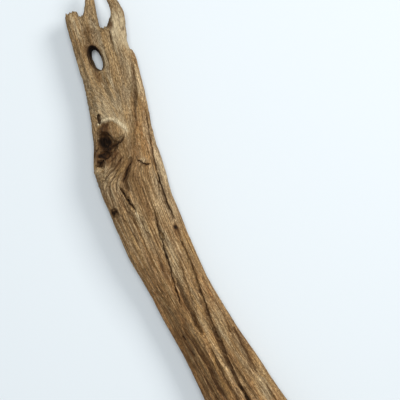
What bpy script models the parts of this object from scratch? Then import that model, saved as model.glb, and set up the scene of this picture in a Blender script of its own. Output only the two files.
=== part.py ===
"""A piece of driftwood: a bent, weathered branch that lies with its face up.

X runs along the grain from the butt to the fork, Y across it and Z up. Every
size below is in millimetres, and the finished mesh is scaled to metres. The
underside is cut flat where the wood touches the surface that it rests on.
"""
import math

import bmesh
import bpy
import numpy as np
from mathutils import Vector, noise

MM = 0.001
NAME = "driftwood"
TRIANGLES = 11400            # aim for the finished solid
VOXEL = 0.75                 # grid on which the lofts are fused
CENTRE = (190.52, 15.44)       # design point that becomes the part's origin
BRANCH_POWER = 2.4           # section shape: 2 is an ellipse, more is squarer
SPLIT_POWER = 3.4            # the split ends are flatter sided

# Stations along the grain: x, right edge, left edge, top, bottom.
BODY = [
    (0, -19, 21, 27, 3),
    (16, -22, 26, 30, 0.2),
    (40, -20.2, 30.6, 32, -0.9),
    (66, -14.4, 35.6, 33, -0.9),
    (84, -9.6, 38, 32.6, 0),
    (98, -7.2, 39.4, 32, 0.9),
    (130, 0.3, 42.2, 30.5, 2.2),
    (168, 5.9, 46.8, 30, 2.4),
    (198, 7.5, 51.4, 31, 1.6),
    (222, 7.7, 52.7, 32.6, 0.2),
    (244, 6, 53.2, 33, -0.9),
    (258, 5.3, 52.2, 32.4, -0.9),
    (276, 5.9, 45.8, 30, 1.4),
    (300, 6.2, 40.3, 26.8, 5),
    (324, 0.6, 36.7, 24.6, 8),
    (347.2, -3.2, 34.6, 23, 10),
]
# The flat slab that ends in the fork, and the lower strip along its right edge.
SLAB = [
    (280, 14, 38, 26, 11),
    (296, 8, 37.4, 25.6, 10.5),
    (310, 2.8, 37, 25.4, 10),
    (324, -0.9, 36.7, 25, 10),
    (337, -1.8, 35.8, 24, 10.5),
    (348.2, -4.6, 34.6, 23, 11),
]
STRIP = [
    (256, 6, 24, 28, 4),
    (272, 4.4, 17, 27, 4),
    (288, 1.6, 11, 24.8, 5),
    (302, -0.5, 5.8, 22.6, 6.6),
    (315, -2.1, 1.8, 20.6, 8.6),
    (324, -3.2, -0.3, 18.8, 10.6),
    (329, -2.8, -1.2, 17.4, 12.6),
]
STUB = [
    (336, 22, 35.6, 22, 11),
    (352, 23, 34, 22.4, 11),
    (361, 23.1, 33, 22, 11.6),
    (366.6, 23.3, 31.8, 21.4, 12.4),
]
LEFT_PRONG = [
    (334, 12, 31, 22, 11),
    (350, 12.8, 27.5, 22, 11.4),
    (358.4, 11.6, 24.6, 21.8, 12),
    (359.8, 11.3, 21.8, 21.7, 12.2),
    (361.8, 10.9, 20.4, 21.6, 12.4),
    (366, 10, 17.4, 21.2, 12.8),
    (371, 8.8, 14.6, 20.6, 13.2),
    (377, 7.2, 11.8, 19.6, 13.8),
    (383, 5.6, 9, 18, 14.6),
]
RIGHT_PRONG = [
    (334, -2.1, 10, 23, 11),
    (341, -3.6, 9.4, 23, 11),
    (346.5, -4.8, 8.4, 22.8, 11.2),
    (349.6, -6, 7, 22.6, 11.5),
    (352.4, -6.7, 4.6, 22.4, 11.8),
    (355.4, -6.8, 2.6, 22.2, 12.2),
    (360, -6.2, 1.1, 22, 13),
    (366, -4.9, 1.4, 21, 13.4),
    (372, -3, 1.9, 19.6, 14),
    (377, -1, 2, 18, 14.8),
]
# Splinters on the broken floors of the fork: place across, tip and half width.
FLOOR_SPLINTERS = [(22.2, 360.4, 0.9), (11.9, 350.2, 1.3), (9.6, 349.4, 0.9), (7.4, 349.2, 1)]
BROKEN_END = 1.5             # rounding of the snapped ends
BUTT_END = 9.0               # rounding of the worn butt

# The knot: the dome, then the rotted hollow and the pits that eat into it,
# and the pits further down. Each is its centre and its half sizes.
KNOB = ((279.4, 31.2, 27.6), (6.8, 8.4, 6.8))
HOLLOWS = [
    ((275.2, 37.0, 31.0), (6.2, 6.0, 10.6)),
    ((270.4, 33.8, 32.6), (3.8, 4.8, 9.4)),
    ((266.8, 40.6, 31.0), (3.0, 5.4, 8.4)),
    ((262.2, 45.4, 30.6), (3.1, 3.5, 8.2)),
    ((227.6, 48.6, 26.0), (3.4, 2.6, 5.0)),
    ((203.4, 13.4, 32.5), (2.6, 2.0, 6.5)),
    ((199.4, 13.8, 32.5), (3.6, 2.4, 4.0)),
    ((201.8, 24.5, 33.5), (2.2, 1.5, 7.0)),
]
# The through-hole is a slanted cone: wide at the face, narrow at the back. Its
# half sizes are along the grain, then across it.
HOLE_BACK, HOLE_BACK_HALF = (331.2, 21.9), (7.2, 2.2)
HOLE_FACE, HOLE_FACE_HALF = (330.4, 23.0), (9.2, 5.0)
HOLE_HEIGHTS = (6.0, 28.0)

# Lines carved into the face: width, depth (less than 0 is a ridge) and path.
FACE_LINES = [
    # groove between the slab and the strip, and its wide hollow lower down
    (3.4, 0.9, [(326, -1.4), (320, 0.4), (314, 1.9), (307, 4), (296, 8)]),
    (3.6, 2.0, [(302, 5.6), (296, 8), (285, 11.8), (275, 16.2), (263, 21.2)]),
    (9.0, 1.8, [(306, 7), (296, 10.4), (285, 13.6), (274, 17.4), (264, 20.4)]),
    # long groove down the right third, from the strip to the butt
    (3.4, 2.2, [(287, 3.6), (272, 6.4), (261, 8.8), (253, 10.5), (241, 12), (227, 13.2)]),
    (4.4, 4.4, [(237, 12.2), (227, 13.3), (215, 13.1), (207, 12.4)]),
    (4.6, 3.8, [(196, 13.6), (182, 13.2), (171, 13.4), (158, 14.3), (146, 14), (135, 15.1),
                (126, 13), (116, 13.6)]),
    (5.0, 4.6, [(122, 13.4), (109, 13.9), (101, 13.3), (92, 13.2), (85, 11.4), (76, 9.9),
                (58, 5), (36, 1)]),
    # groove down the middle with a hole in it, and the lines beside it
    (3.2, 2.4, [(221, 22.8), (212, 23.9), (202, 24.5), (192, 25.9), (183, 26.7), (174, 27.7),
                (164, 28.8), (152, 28.9)]),
    (5.0, 3.4, [(172, 25.6), (159, 25.6), (152, 25.3), (144, 24.2), (136, 24.3), (129, 22.4)]),
    (2.6, 1.6, [(182, 19.4), (171, 20.1), (160, 20.6), (149, 21.3)]),
    (2.6, 1.4, [(238, 24.2), (226, 25.7), (219, 26.6)]),
    # lines on the left half
    (2.6, 1.6, [(222, 32.8), (209, 33.6), (203, 31.5), (194, 31.5), (185, 32.1), (172, 33)]),
    (3.2, 2.8, [(243, 38.6), (239, 38.2), (232, 36.5), (223, 34.4)]),
    (2.4, 1.4, [(243, 41), (234, 41.4), (228, 40.3), (216, 37.7), (203, 37)]),
    (7.0, 3.0, [(260, 24.2), (253, 29.7), (247.6, 34.1), (243.8, 35.6), (237, 34.4)]),
    (2.2, 1.6, [(261, 31), (255, 34.8), (251.6, 40.6), (249, 46.8), (246, 49.8)]),
    # notch and lip where the pits reach the left edge
    (3.0, 1.4, [(262.4, 44), (261.6, 48), (261.2, 54)]),
    (3.4, -1.2, [(257.4, 47), (257.6, 50), (257.4, 54)]),
    # curled scar and the raised lip above it
    (2.4, 1.8, [(254.6, 20.4), (251, 18.9), (249.8, 17.2), (251, 14.6)]),
    (2.6, -1.1, [(257.4, 20.8), (254, 18.4), (252.6, 16.2)]),
    # lower end: right edge with its worn hollow, then the line between them
    (3.0, 1.8, [(152, 8.4), (139, 5.3), (133, 4.7), (126, 4.9), (118, 3.7), (112, 2.4)]),
    (8.0, 3.4, [(126, 1.6), (112, -0.2), (104, -1.4), (97, -3.4), (86, -6.4)]),
    (3.2, 2.2, [(113, 12), (103, 10.4), (93, 8.4), (84, 6.4), (74, 4)]),
    # ridge above the left flank, then the flank itself with its dark grooves
    (4.0, -1.3, [(143, 28), (134, 25.4), (129, 23.4), (119, 23.2), (104, 22.6), (84, 20)]),
    (26.0, 3.6, [(170, 46), (150, 41), (126, 37), (102, 35), (76, 32), (40, 28), (10, 24)]),
    (4.6, 2.0, [(141, 34.6), (126, 30.5), (115, 28.3), (107, 26.8), (96, 26.6), (80, 23)]),
    (4.0, 1.8, [(114, 34), (98, 32), (84, 29.6), (64, 27), (34, 22), (12, 17)]),
    (3.6, 1.8, [(121, 20.9), (111, 20.3), (100, 19.9), (90, 18.3), (74, 15.6), (46, 10)]),
    # hidden by the hand or beyond the picture: the grain lines run on
    (3.6, 1.8, [(86, -4), (66, -8), (42, -11), (16, -11)]),
    (3.0, 2.0, [(72, 1), (52, -3), (30, -5), (12, -5)]),
    (4.0, 2.2, [(60, 14), (40, 11), (20, 9), (6, 7)]),
    # slit beside the knot, rim over it and crack under its dome
    (2.4, 2.6, [(294, 35.4), (290.4, 35.3), (286.6, 36.2)]),
    (4.2, -1.6, [(287, 38.4), (288.6, 34), (288.4, 29.8), (285.8, 25.6), (281, 22), (276.6, 19.6)]),
    (2.6, 2.8, [(275.4, 23.2), (273.4, 25.6), (272.2, 29), (272, 33)]),
    # face of the slab: worn trough below the hole, cracks and its left ridge
    (7.6, 2.4, [(324, 22.4), (316, 24), (308, 24.6), (298, 24.2)]),
    (1.8, 2.0, [(346, 7.4), (340, 8.2), (335, 8.6), (330, 9.2)]),
    (3.4, 1.4, [(352, 23.6), (346, 23.4), (341, 22.6)]),
    (2.8, -1.0, [(350, 29.6), (336, 30.8), (318, 31.4), (304, 32.2), (290, 34.6)]),
    (3.2, 1.0, [(340, 15), (322, 16), (304, 17.6), (292, 22)]),
    (2.6, 0.9, [(340, 1.4), (326, 5.6), (310, 10.2), (298, 14.6)]),
]
# Lines carved into the underside, which the wood rests on.
BACK_LINES = [
    (5.0, 2.2, [(8, 4), (50, 8), (100, 16), (150, 22), (200, 26), (246, 24)]),
    (4.0, 1.8, [(20, -8), (60, -3), (110, 6), (150, 13), (196, 17)]),
    (4.4, 2.0, [(30, 18), (74, 22), (124, 29), (176, 36), (214, 40)]),
    (3.6, 1.6, [(90, 30), (130, 35), (160, 40), (190, 44)]),
    (5.0, 1.8, [(262, 34), (290, 28), (320, 26), (342, 28)]),
    (4.0, 1.4, [(268, 14), (296, 12), (322, 8), (344, 2)]),
    (4.0, 1.6, [(210, 30), (236, 34), (258, 38), (276, 36)]),
]
FLUTES = 17                  # broad worn flutes round the whole branch
FLUTE_DEPTH = (1.1, 0.6)     # on the sides and underside, and on the face
LUMP_DEPTH = 0.7             # slow unevenness of the whole surface
END_ROUGHNESS = 2.4          # raggedness of the broken ends along the grain


def clear_scene():
    """Start from an empty scene."""
    for item in list(bpy.data.objects):
        bpy.data.objects.remove(item, do_unlink=True)


def collection(name):
    """A collection linked to the scene."""
    group = bpy.data.collections.new(name)
    bpy.context.scene.collection.children.link(group)
    return group


def add_object(name, bm, group):
    """Turn a bmesh into an object of the group and free it."""
    mesh = bpy.data.meshes.new(name)
    bm.to_mesh(mesh)
    bm.free()
    item = bpy.data.objects.new(name, mesh)
    group.objects.link(item)
    return item


def as_cutter(item):
    """Show a helper as a wire and keep it out of the part."""
    item.hide_render = True
    item.display_type = "WIRE"
    return item


def eased(low, high, value):
    """0 below low, 1 above high and a smooth ramp between."""
    share = np.clip((value - low) / (high - low), 0.0, 1.0)
    return share * share * (3.0 - 2.0 * share)


def curve_through(knots, values, where):
    """Smooth curve through the knots: cubic pieces with no overshoot."""
    knots, values = np.asarray(knots, float), np.asarray(values, float)
    gaps = np.diff(knots)
    slopes = np.diff(values) / gaps
    tangents = np.zeros_like(values)
    same_way = slopes[:-1] * slopes[1:] > 0
    mean = 2.0 * slopes[:-1] * slopes[1:] / np.where(same_way, slopes[:-1] + slopes[1:], 1.0)
    tangents[1:-1] = np.where(same_way, mean, 0.0)
    tangents[0], tangents[-1] = slopes[0], slopes[-1]
    i = np.clip(np.searchsorted(knots, where) - 1, 0, len(gaps) - 1)
    t = np.clip((where - knots[i]) / gaps[i], 0.0, 1.0)
    start = values[i] * (1 + 2 * t) * (1 - t) ** 2 + tangents[i] * gaps[i] * t * (1 - t) ** 2
    end = values[i + 1] * t * t * (3 - 2 * t) - tangents[i + 1] * gaps[i] * t * t * (1 - t)
    return start + end


def end_cap(distance, radius):
    """Share of the full section at a distance from a blunt end."""
    near = 1.0 - np.clip(distance / radius, 0.0, 1.0)
    return (1.0 - near ** 3) ** (1.0 / 3.0)


def loft(name, stations, power, last_end, group, first_end=6.0, around=96, step=2.4):
    """Closed loft through superellipse sections, with blunt ends."""
    table = np.array(stations, float).T
    first, last = table[0][0], table[0][-1]
    rows = max(24, int((last - first) / step))
    bm = bmesh.new()
    bmesh.ops.create_grid(bm, x_segments=rows, y_segments=around, size=0.5)
    bm.verts.ensure_lookup_table()
    flat = np.array([v.co[:2] for v in bm.verts])
    x = first + (last - first) * (1 - np.cos(math.pi * (flat[:, 0] + 0.5))) / 2
    angle = 2 * math.pi * flat[:, 1]
    right, left, top, bottom = (curve_through(table[0], row, x) for row in table[1:])
    cap = end_cap(x - first, first_end) * end_cap(last - x, last_end)
    across = np.sign(np.cos(angle)) * np.abs(np.cos(angle)) ** (2.0 / power) * cap
    height = np.sign(np.sin(angle)) * np.abs(np.sin(angle)) ** (2.0 / power) * cap
    y = (left + right) / 2 + (left - right) / 2 * across
    z = (top + bottom) / 2 + (top - bottom) / 2 * height
    for vert, place in zip(bm.verts, np.stack([x, y, z], 1) * MM):
        vert.co = Vector(place)
    bmesh.ops.remove_doubles(bm, verts=bm.verts, dist=0.00001)
    bmesh.ops.recalc_face_normals(bm, faces=bm.faces)
    return add_object(name, bm, group)


def ellipsoid(name, centre, half_sizes, group):
    """Sphere primitive stretched to its half sizes."""
    bm = bmesh.new()
    bmesh.ops.create_uvsphere(bm, u_segments=28, v_segments=18, radius=MM)
    bmesh.ops.scale(bm, vec=Vector(half_sizes), verts=bm.verts)
    bmesh.ops.translate(bm, vec=Vector(centre) * MM, verts=bm.verts)
    return add_object(name, bm, group)


def hole_cutter(group):
    """Slanted elliptical cone that runs through the slab."""
    bm = bmesh.new()
    bmesh.ops.create_cone(bm, cap_ends=True, segments=32, radius1=1.0, radius2=1.0, depth=1.0)
    back, face = np.array(HOLE_BACK), np.array(HOLE_FACE)
    back_half, face_half = np.array(HOLE_BACK_HALF), np.array(HOLE_FACE_HALF)
    for vert in bm.verts:
        share = vert.co.z + 0.5
        middle = back + (face - back) * share
        half = back_half + (face_half - back_half) * share
        place = middle + half * np.array(vert.co[:2])
        height = HOLE_HEIGHTS[0] + (HOLE_HEIGHTS[1] - HOLE_HEIGHTS[0]) * share
        vert.co = Vector((*place, height)) * MM
    return add_object("hole_cutter", bm, group)


def splinter(index, y, tip, width, group):
    """Short pointed splinter on the broken floor of the fork."""
    stations = [(338, y - width, y + width, 20.4, 13), (346, y - width, y + width, 20, 13),
                (tip, y - 0.4 * width, y + 0.4 * width, 18.4, 15)]
    return loft("splinter_%d" % index, stations, BRANCH_POWER, 1.2, group, 1.0, around=24)


def boolean(item, other, operation):
    """Add a live Boolean with another object."""
    modifier = item.modifiers.new(other.name, "BOOLEAN")
    modifier.operation = operation
    modifier.object = other


def evaluated_mesh(item):
    """The object's mesh with its modifiers applied."""
    graph = bpy.context.evaluated_depsgraph_get()
    return bpy.data.meshes.new_from_object(item.evaluated_get(graph), depsgraph=graph)


def fused_form(helpers):
    """Body, fork and knot fused on a voxel grid, with the cuts made."""
    body = as_cutter(loft("body", BODY, BRANCH_POWER, BROKEN_END, helpers, BUTT_END))
    for name, stations, power in (("slab", SLAB, SPLIT_POWER), ("strip", STRIP, BRANCH_POWER),
                                  ("stub", STUB, SPLIT_POWER),
                                  ("left_prong", LEFT_PRONG, SPLIT_POWER),
                                  ("right_prong", RIGHT_PRONG, SPLIT_POWER)):
        boolean(body, as_cutter(loft(name, stations, power, BROKEN_END, helpers)), "UNION")
    for index, (y, tip, width) in enumerate(FLOOR_SPLINTERS):
        boolean(body, as_cutter(splinter(index, y, tip, width, helpers)), "UNION")
    boolean(body, as_cutter(ellipsoid("knob", *KNOB, helpers)), "UNION")
    boolean(body, as_cutter(hole_cutter(helpers)), "DIFFERENCE")
    for index, (centre, half_sizes) in enumerate(HOLLOWS):
        hollow = as_cutter(ellipsoid("hollow_%d" % index, centre, half_sizes, helpers))
        boolean(body, hollow, "DIFFERENCE")
    remesh = body.modifiers.new("fuse", "REMESH")
    remesh.mode = "VOXEL"
    remesh.voxel_size = VOXEL * MM
    smooth = body.modifiers.new("soften", "SMOOTH")
    smooth.iterations = 2
    return evaluated_mesh(body)


def spline(points, step=1.5):
    """Points at even steps on a smooth curve through the path's points."""
    points = np.asarray(points, float)
    length = np.concatenate([[0], np.cumsum(np.linalg.norm(np.diff(points, axis=0), axis=1))])
    along = np.linspace(0, length[-1], max(3, int(length[-1] / step)))
    return np.stack([curve_through(length, points[:, k], along) for k in (0, 1)], 1)


def line_relief(x, y, width, points):
    """Share of a line's full depth at each place: 1 on it, 0 beside it."""
    path = spline(points)
    relief = np.zeros(len(x))
    low, high = path.min(0) - width, path.max(0) + width
    near = np.flatnonzero((x > low[0]) & (x < high[0]) & (y > low[1]) & (y < high[1]))
    place = np.stack([x[near], y[near]], 1)
    best = np.full(len(near), 1e9)
    where = np.zeros(len(near))
    for index, (start, end) in enumerate(zip(path[:-1], path[1:])):
        run = end - start
        share = np.clip((place - start) @ run / (run @ run), 0, 1)
        distance = np.linalg.norm(place - start - share[:, None] * run, axis=1)
        closer = distance < best
        best[closer] = distance[closer]
        where[closer] = (index + share[closer]) / (len(path) - 1)
    taper = np.sqrt(eased(0.0, 0.16, where) * eased(0.0, 0.16, 1 - where))
    relief[near] = (1 - eased(0.0, width / 2, best)) * taper
    return relief


def surface_noise(points, sizes):
    """Smooth noise in about -1 to 1, stretched by a size along each axis."""
    scaled = points / np.array(sizes)
    return np.array([noise.noise(Vector(place)) for place in scaled])


def carve(mesh):
    """Carve the grooves, ridges, flutes and ragged ends into the form."""
    count = len(mesh.vertices)
    flat = np.empty(count * 3)
    mesh.vertices.foreach_get("co", flat)
    points = flat.reshape(-1, 3) / MM
    mesh.vertex_normals.foreach_get("vector", flat)
    normals = flat.reshape(-1, 3).copy()
    x, y = points[:, 0], points[:, 1]
    table = np.array(BODY, float).T
    right, left, top, bottom = (curve_through(table[0], row, x) for row in table[1:])
    across = y - (left + right) / 2
    above = points[:, 2] - (top + bottom) / 2
    turn = np.arctan2(above / (top - bottom), across / (left - right))
    face = eased(0.1, 0.5, normals[:, 2])
    back = eased(0.1, 0.5, -normals[:, 2])
    depth = np.zeros(count)
    for width, amount, path in FACE_LINES:
        depth += face * amount * line_relief(x, y, width, path)
    for width, amount, path in BACK_LINES:
        depth += back * amount * line_relief(x, y, width, path)
    grain = np.stack([x, across, points[:, 2]], 1)
    wander = 2.0 * surface_noise(grain, (90, 30, 30))
    full = eased(0, 8, x) * (1 - 0.6 * eased(325, 350, x))
    size = FLUTE_DEPTH[0] + (FLUTE_DEPTH[1] - FLUTE_DEPTH[0]) * face
    depth += full * size * (0.5 + 0.5 * np.cos(FLUTES * turn + wander))
    depth += full * LUMP_DEPTH * surface_noise(grain + 40.0, (34, 12, 12))
    points -= normals * depth[:, None]
    ragged = surface_noise(points + 17.0, (60, 2.6, 3.2))
    ends = (1 - eased(0, 12, x)) + 0.55 * eased(338, 349, x)
    points[:, 0] += END_ROUGHNESS * ends * ragged
    points[:, :2] -= CENTRE
    mesh.vertices.foreach_set("co", (points * MM).ravel())
    mesh.update()


def wood_material():
    """Bare wood, sun-bleached and tan brown."""
    material = bpy.data.materials.new("weathered_wood")
    material.use_nodes = True
    shader = material.node_tree.nodes["Principled BSDF"]
    shader.inputs["Base Color"].default_value = (0.36, 0.25, 0.145, 1.0)
    shader.inputs["Roughness"].default_value = 0.85
    shader.inputs["Metallic"].default_value = 0.0
    return material


def floor_cutter(group):
    """Block whose top is the surface that the wood rests on."""
    bm = bmesh.new()
    bmesh.ops.create_cube(bm, size=1.0)
    bmesh.ops.scale(bm, vec=(0.5, 0.2, 0.02), verts=bm.verts)
    bmesh.ops.translate(bm, vec=(0.0, 0.0, -0.01), verts=bm.verts)
    return add_object("floor_cutter", bm, group)


def driftwood(parts, helpers):
    """The finished piece of wood."""
    mesh = fused_form(helpers)
    carve(mesh)
    mesh.materials.clear()
    mesh.materials.append(wood_material())
    wood = bpy.data.objects.new(NAME, mesh)
    wood.data.name = NAME
    parts.objects.link(wood)
    full_count = sum(len(face.vertices) - 2 for face in mesh.polygons)
    decimate = wood.modifiers.new("thin_out", "DECIMATE")
    decimate.ratio = TRIANGLES / full_count
    boolean(wood, as_cutter(floor_cutter(helpers)), "DIFFERENCE")
    mesh.shade_smooth()
    return wood


def main():
    """Build the part in the scene."""
    clear_scene()
    parts, helpers = collection(NAME), collection("cutters")
    driftwood(parts, helpers)


if __name__ == "__main__":
    main()
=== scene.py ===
import math

import bmesh
import bpy
import numpy as np
from bpy.props import (FloatProperty, FloatVectorProperty, IntProperty,
                       PointerProperty)
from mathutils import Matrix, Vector, noise


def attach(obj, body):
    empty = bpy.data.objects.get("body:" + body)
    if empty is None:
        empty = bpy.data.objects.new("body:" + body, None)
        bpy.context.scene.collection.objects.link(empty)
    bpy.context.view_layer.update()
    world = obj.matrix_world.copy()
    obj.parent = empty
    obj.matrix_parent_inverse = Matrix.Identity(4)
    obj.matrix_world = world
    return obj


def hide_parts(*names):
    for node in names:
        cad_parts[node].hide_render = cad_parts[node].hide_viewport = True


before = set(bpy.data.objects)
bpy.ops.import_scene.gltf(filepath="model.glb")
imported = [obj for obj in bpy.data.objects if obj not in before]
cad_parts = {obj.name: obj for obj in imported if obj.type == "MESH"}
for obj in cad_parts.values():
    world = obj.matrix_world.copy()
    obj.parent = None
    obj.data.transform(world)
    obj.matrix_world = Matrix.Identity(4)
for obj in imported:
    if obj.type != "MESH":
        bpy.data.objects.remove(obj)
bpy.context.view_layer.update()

NODE = "driftwood"
MM = 0.001
MERGE_DISTANCE = 0.000005
SMOOTHINGS = 8

bl_info = {
    "name": "Driftwood",
    "version": (1, 0, 0),
    "blender": (4, 5, 0),
    "location": "3D View > Sidebar > Driftwood",
    "description": "Builds a piece of driftwood with its grain, cracks and knot",
    "category": "Object",
}

# All places below are in the wood's own millimetres: x from the butt to the
# fork, y from its right edge to its left, z up. This point is the frame's origin.
CENTRE = (190.52, 15.44)

# The knot: its dome, its face seen from above, the pale collar of wood that
# curls round it, and the way across it from its lit side to its shaded one.
KNOB, KNOB_HALF = (279.4, 31.2, 27.6), (6.8, 8.4, 6.8)
KNOB_FACE, KNOB_FACE_HALF = (279.4, 31.7), (7.6, 8.6)
KNOB_COLLAR = [(286.8, 38.6), (288.8, 34), (288.6, 29), (286, 24.8), (280, 21), (275, 19.6)]
COLLAR_WIDTH = 7.0
KNOB_TO_SHADE = (0.36, 0.93)
KNOB_RINGS = 5.0
# Rotted hollows below the knot and borers' pits: centre, half sizes, how much of
# the width is black, and how dark the rest is. The black and the dark are rotted
# wood and painted shade.
HOLLOWS = [
    ((274.8, 36.8, 31.0), (6.2, 6.0, 10.6), 0.78, 0.5),
    ((270.6, 36.0, 32.6), (4.2, 5.0, 9.4), 0.55, 0.62),
    ((266.8, 40.6, 31.0), (3.0, 5.4, 8.4), 0.95, 0.5),
    ((262.2, 45.4, 30.6), (3.1, 3.5, 8.2), 0.42, 0.5),
    ((227.8, 49.0, 26.0), (3.0, 3.4, 5.0), 0.42, 0.42),
    ((203.4, 13.4, 32.5), (2.6, 2.0, 6.5), 0.75, 0.4),
    ((199.4, 13.8, 32.5), (3.6, 2.4, 4.0), 0.0, 0.3),
    ((201.8, 24.5, 33.5), (2.2, 1.5, 7.0), 0.9, 0.3),
]
# The through-hole: its middle and half sizes at the back and at the face, the
# heights of the two, and the point that the grain parts round.
HOLE_BACK, HOLE_BACK_HALF = (331.2, 21.9), (7.2, 2.2)
HOLE_FACE, HOLE_FACE_HALF = (330.4, 23.0), (9.2, 5.0)
HOLE_HEIGHTS = (6.0, 28.0)
HOLE_MIDDLE = (331.0, 22.4)
# The way across the hole to the darkest part of its wall. The wall is painted dark, partly as
# rotted wood and partly as painted shade, deepest at its upper left, which lies in shade.
HOLE_TO_SHADE = (0.7, 0.7)

# Stretches of the wood, each from where it starts to where it is full.
SLAB_START, STRIP_START = (288, 300), (240, 262)
KNOT_START, KNOT_END, KNOT_SIDE = (244, 262), (284, 318), (8, 36)
SWIRL_START, SWIRL_END, SWIRL_SIDE = (196, 214), (258, 266), (26, 32)
FLANK_END, BROWN_END = (130, 190), (140, 260)
BUTT_TIP, FORK_TIPS = (6, 16), (341, 346)
# The groove between the slab and the strip on its right starts here and crosses
# the wood by this much for each millimetre along, and steeper past the bend.
GROOVE_START, GROOVE_SLOPE = 331, 0.2
GROOVE_BEND, GROOVE_STEEPER = 295, 0.3
SOFT_EDGE = (-0.5, 2.5)
# The worn flank on the left of the lower half, browner wood that also gets painted
# shade as the side in shadow: its edge passes through this point and spreads by
# this much for each millimetre towards the butt.
FLANK_EDGE, FLANK_SPREAD, FLANK_SOFT = (140, 24), 0.12, (-3, 8)
# Below this height the wood is part of the flat spots that it rests on.
FLAT_SPOT = 0.02

# The straightened wood: half its width and thickness, how far the knot pushes
# the fibres aside, and how far and over what size the hole parts them.
HALF_WIDTH, HALF_THICKNESS = 21.0, 16.0
KNOT_PUSH = 21.0
HOLE_PUSH, HOLE_REACH, HOLE_LENGTHENED = 16.0, 26.0, 2.2

# Sizes of what is carved: along the grain, across it and through it. A strand
# of such wood is 2 to 3 mm wide. Its fibres are far under 0.1 mm, too fine to
# show, so the finest ridges are drawn 0.6 mm wide.
STRANDS, CLOSE_STRANDS = (44, 2.4, 2.4), (34, 1.5, 1.5)
FIBRES, FINE_FIBRES = (14, 0.95, 0.95), (6, 0.6, 0.6)
FURROWS, SWELLS, WORN_PATCHES = (90, 5.6, 5.6), (44, 7, 7), (60, 9, 9)
SHREDS, FRAYS, PITS = (7, 1.1, 1.1), (7, 0.9, 0.9), (3.0, 1.0, 1.0)
LUMPS, KNOB_LUMPS = (2.4, 1.5, 1.5), (2.4, 2.4, 2.4)
WANDER, TORN_EDGE = (5, 3, 3), (3, 1.6, 1.6)
SNAPPED, SNAPPED_FINE = (30, 1.3, 1.5), (30, 0.7, 0.8)
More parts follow.
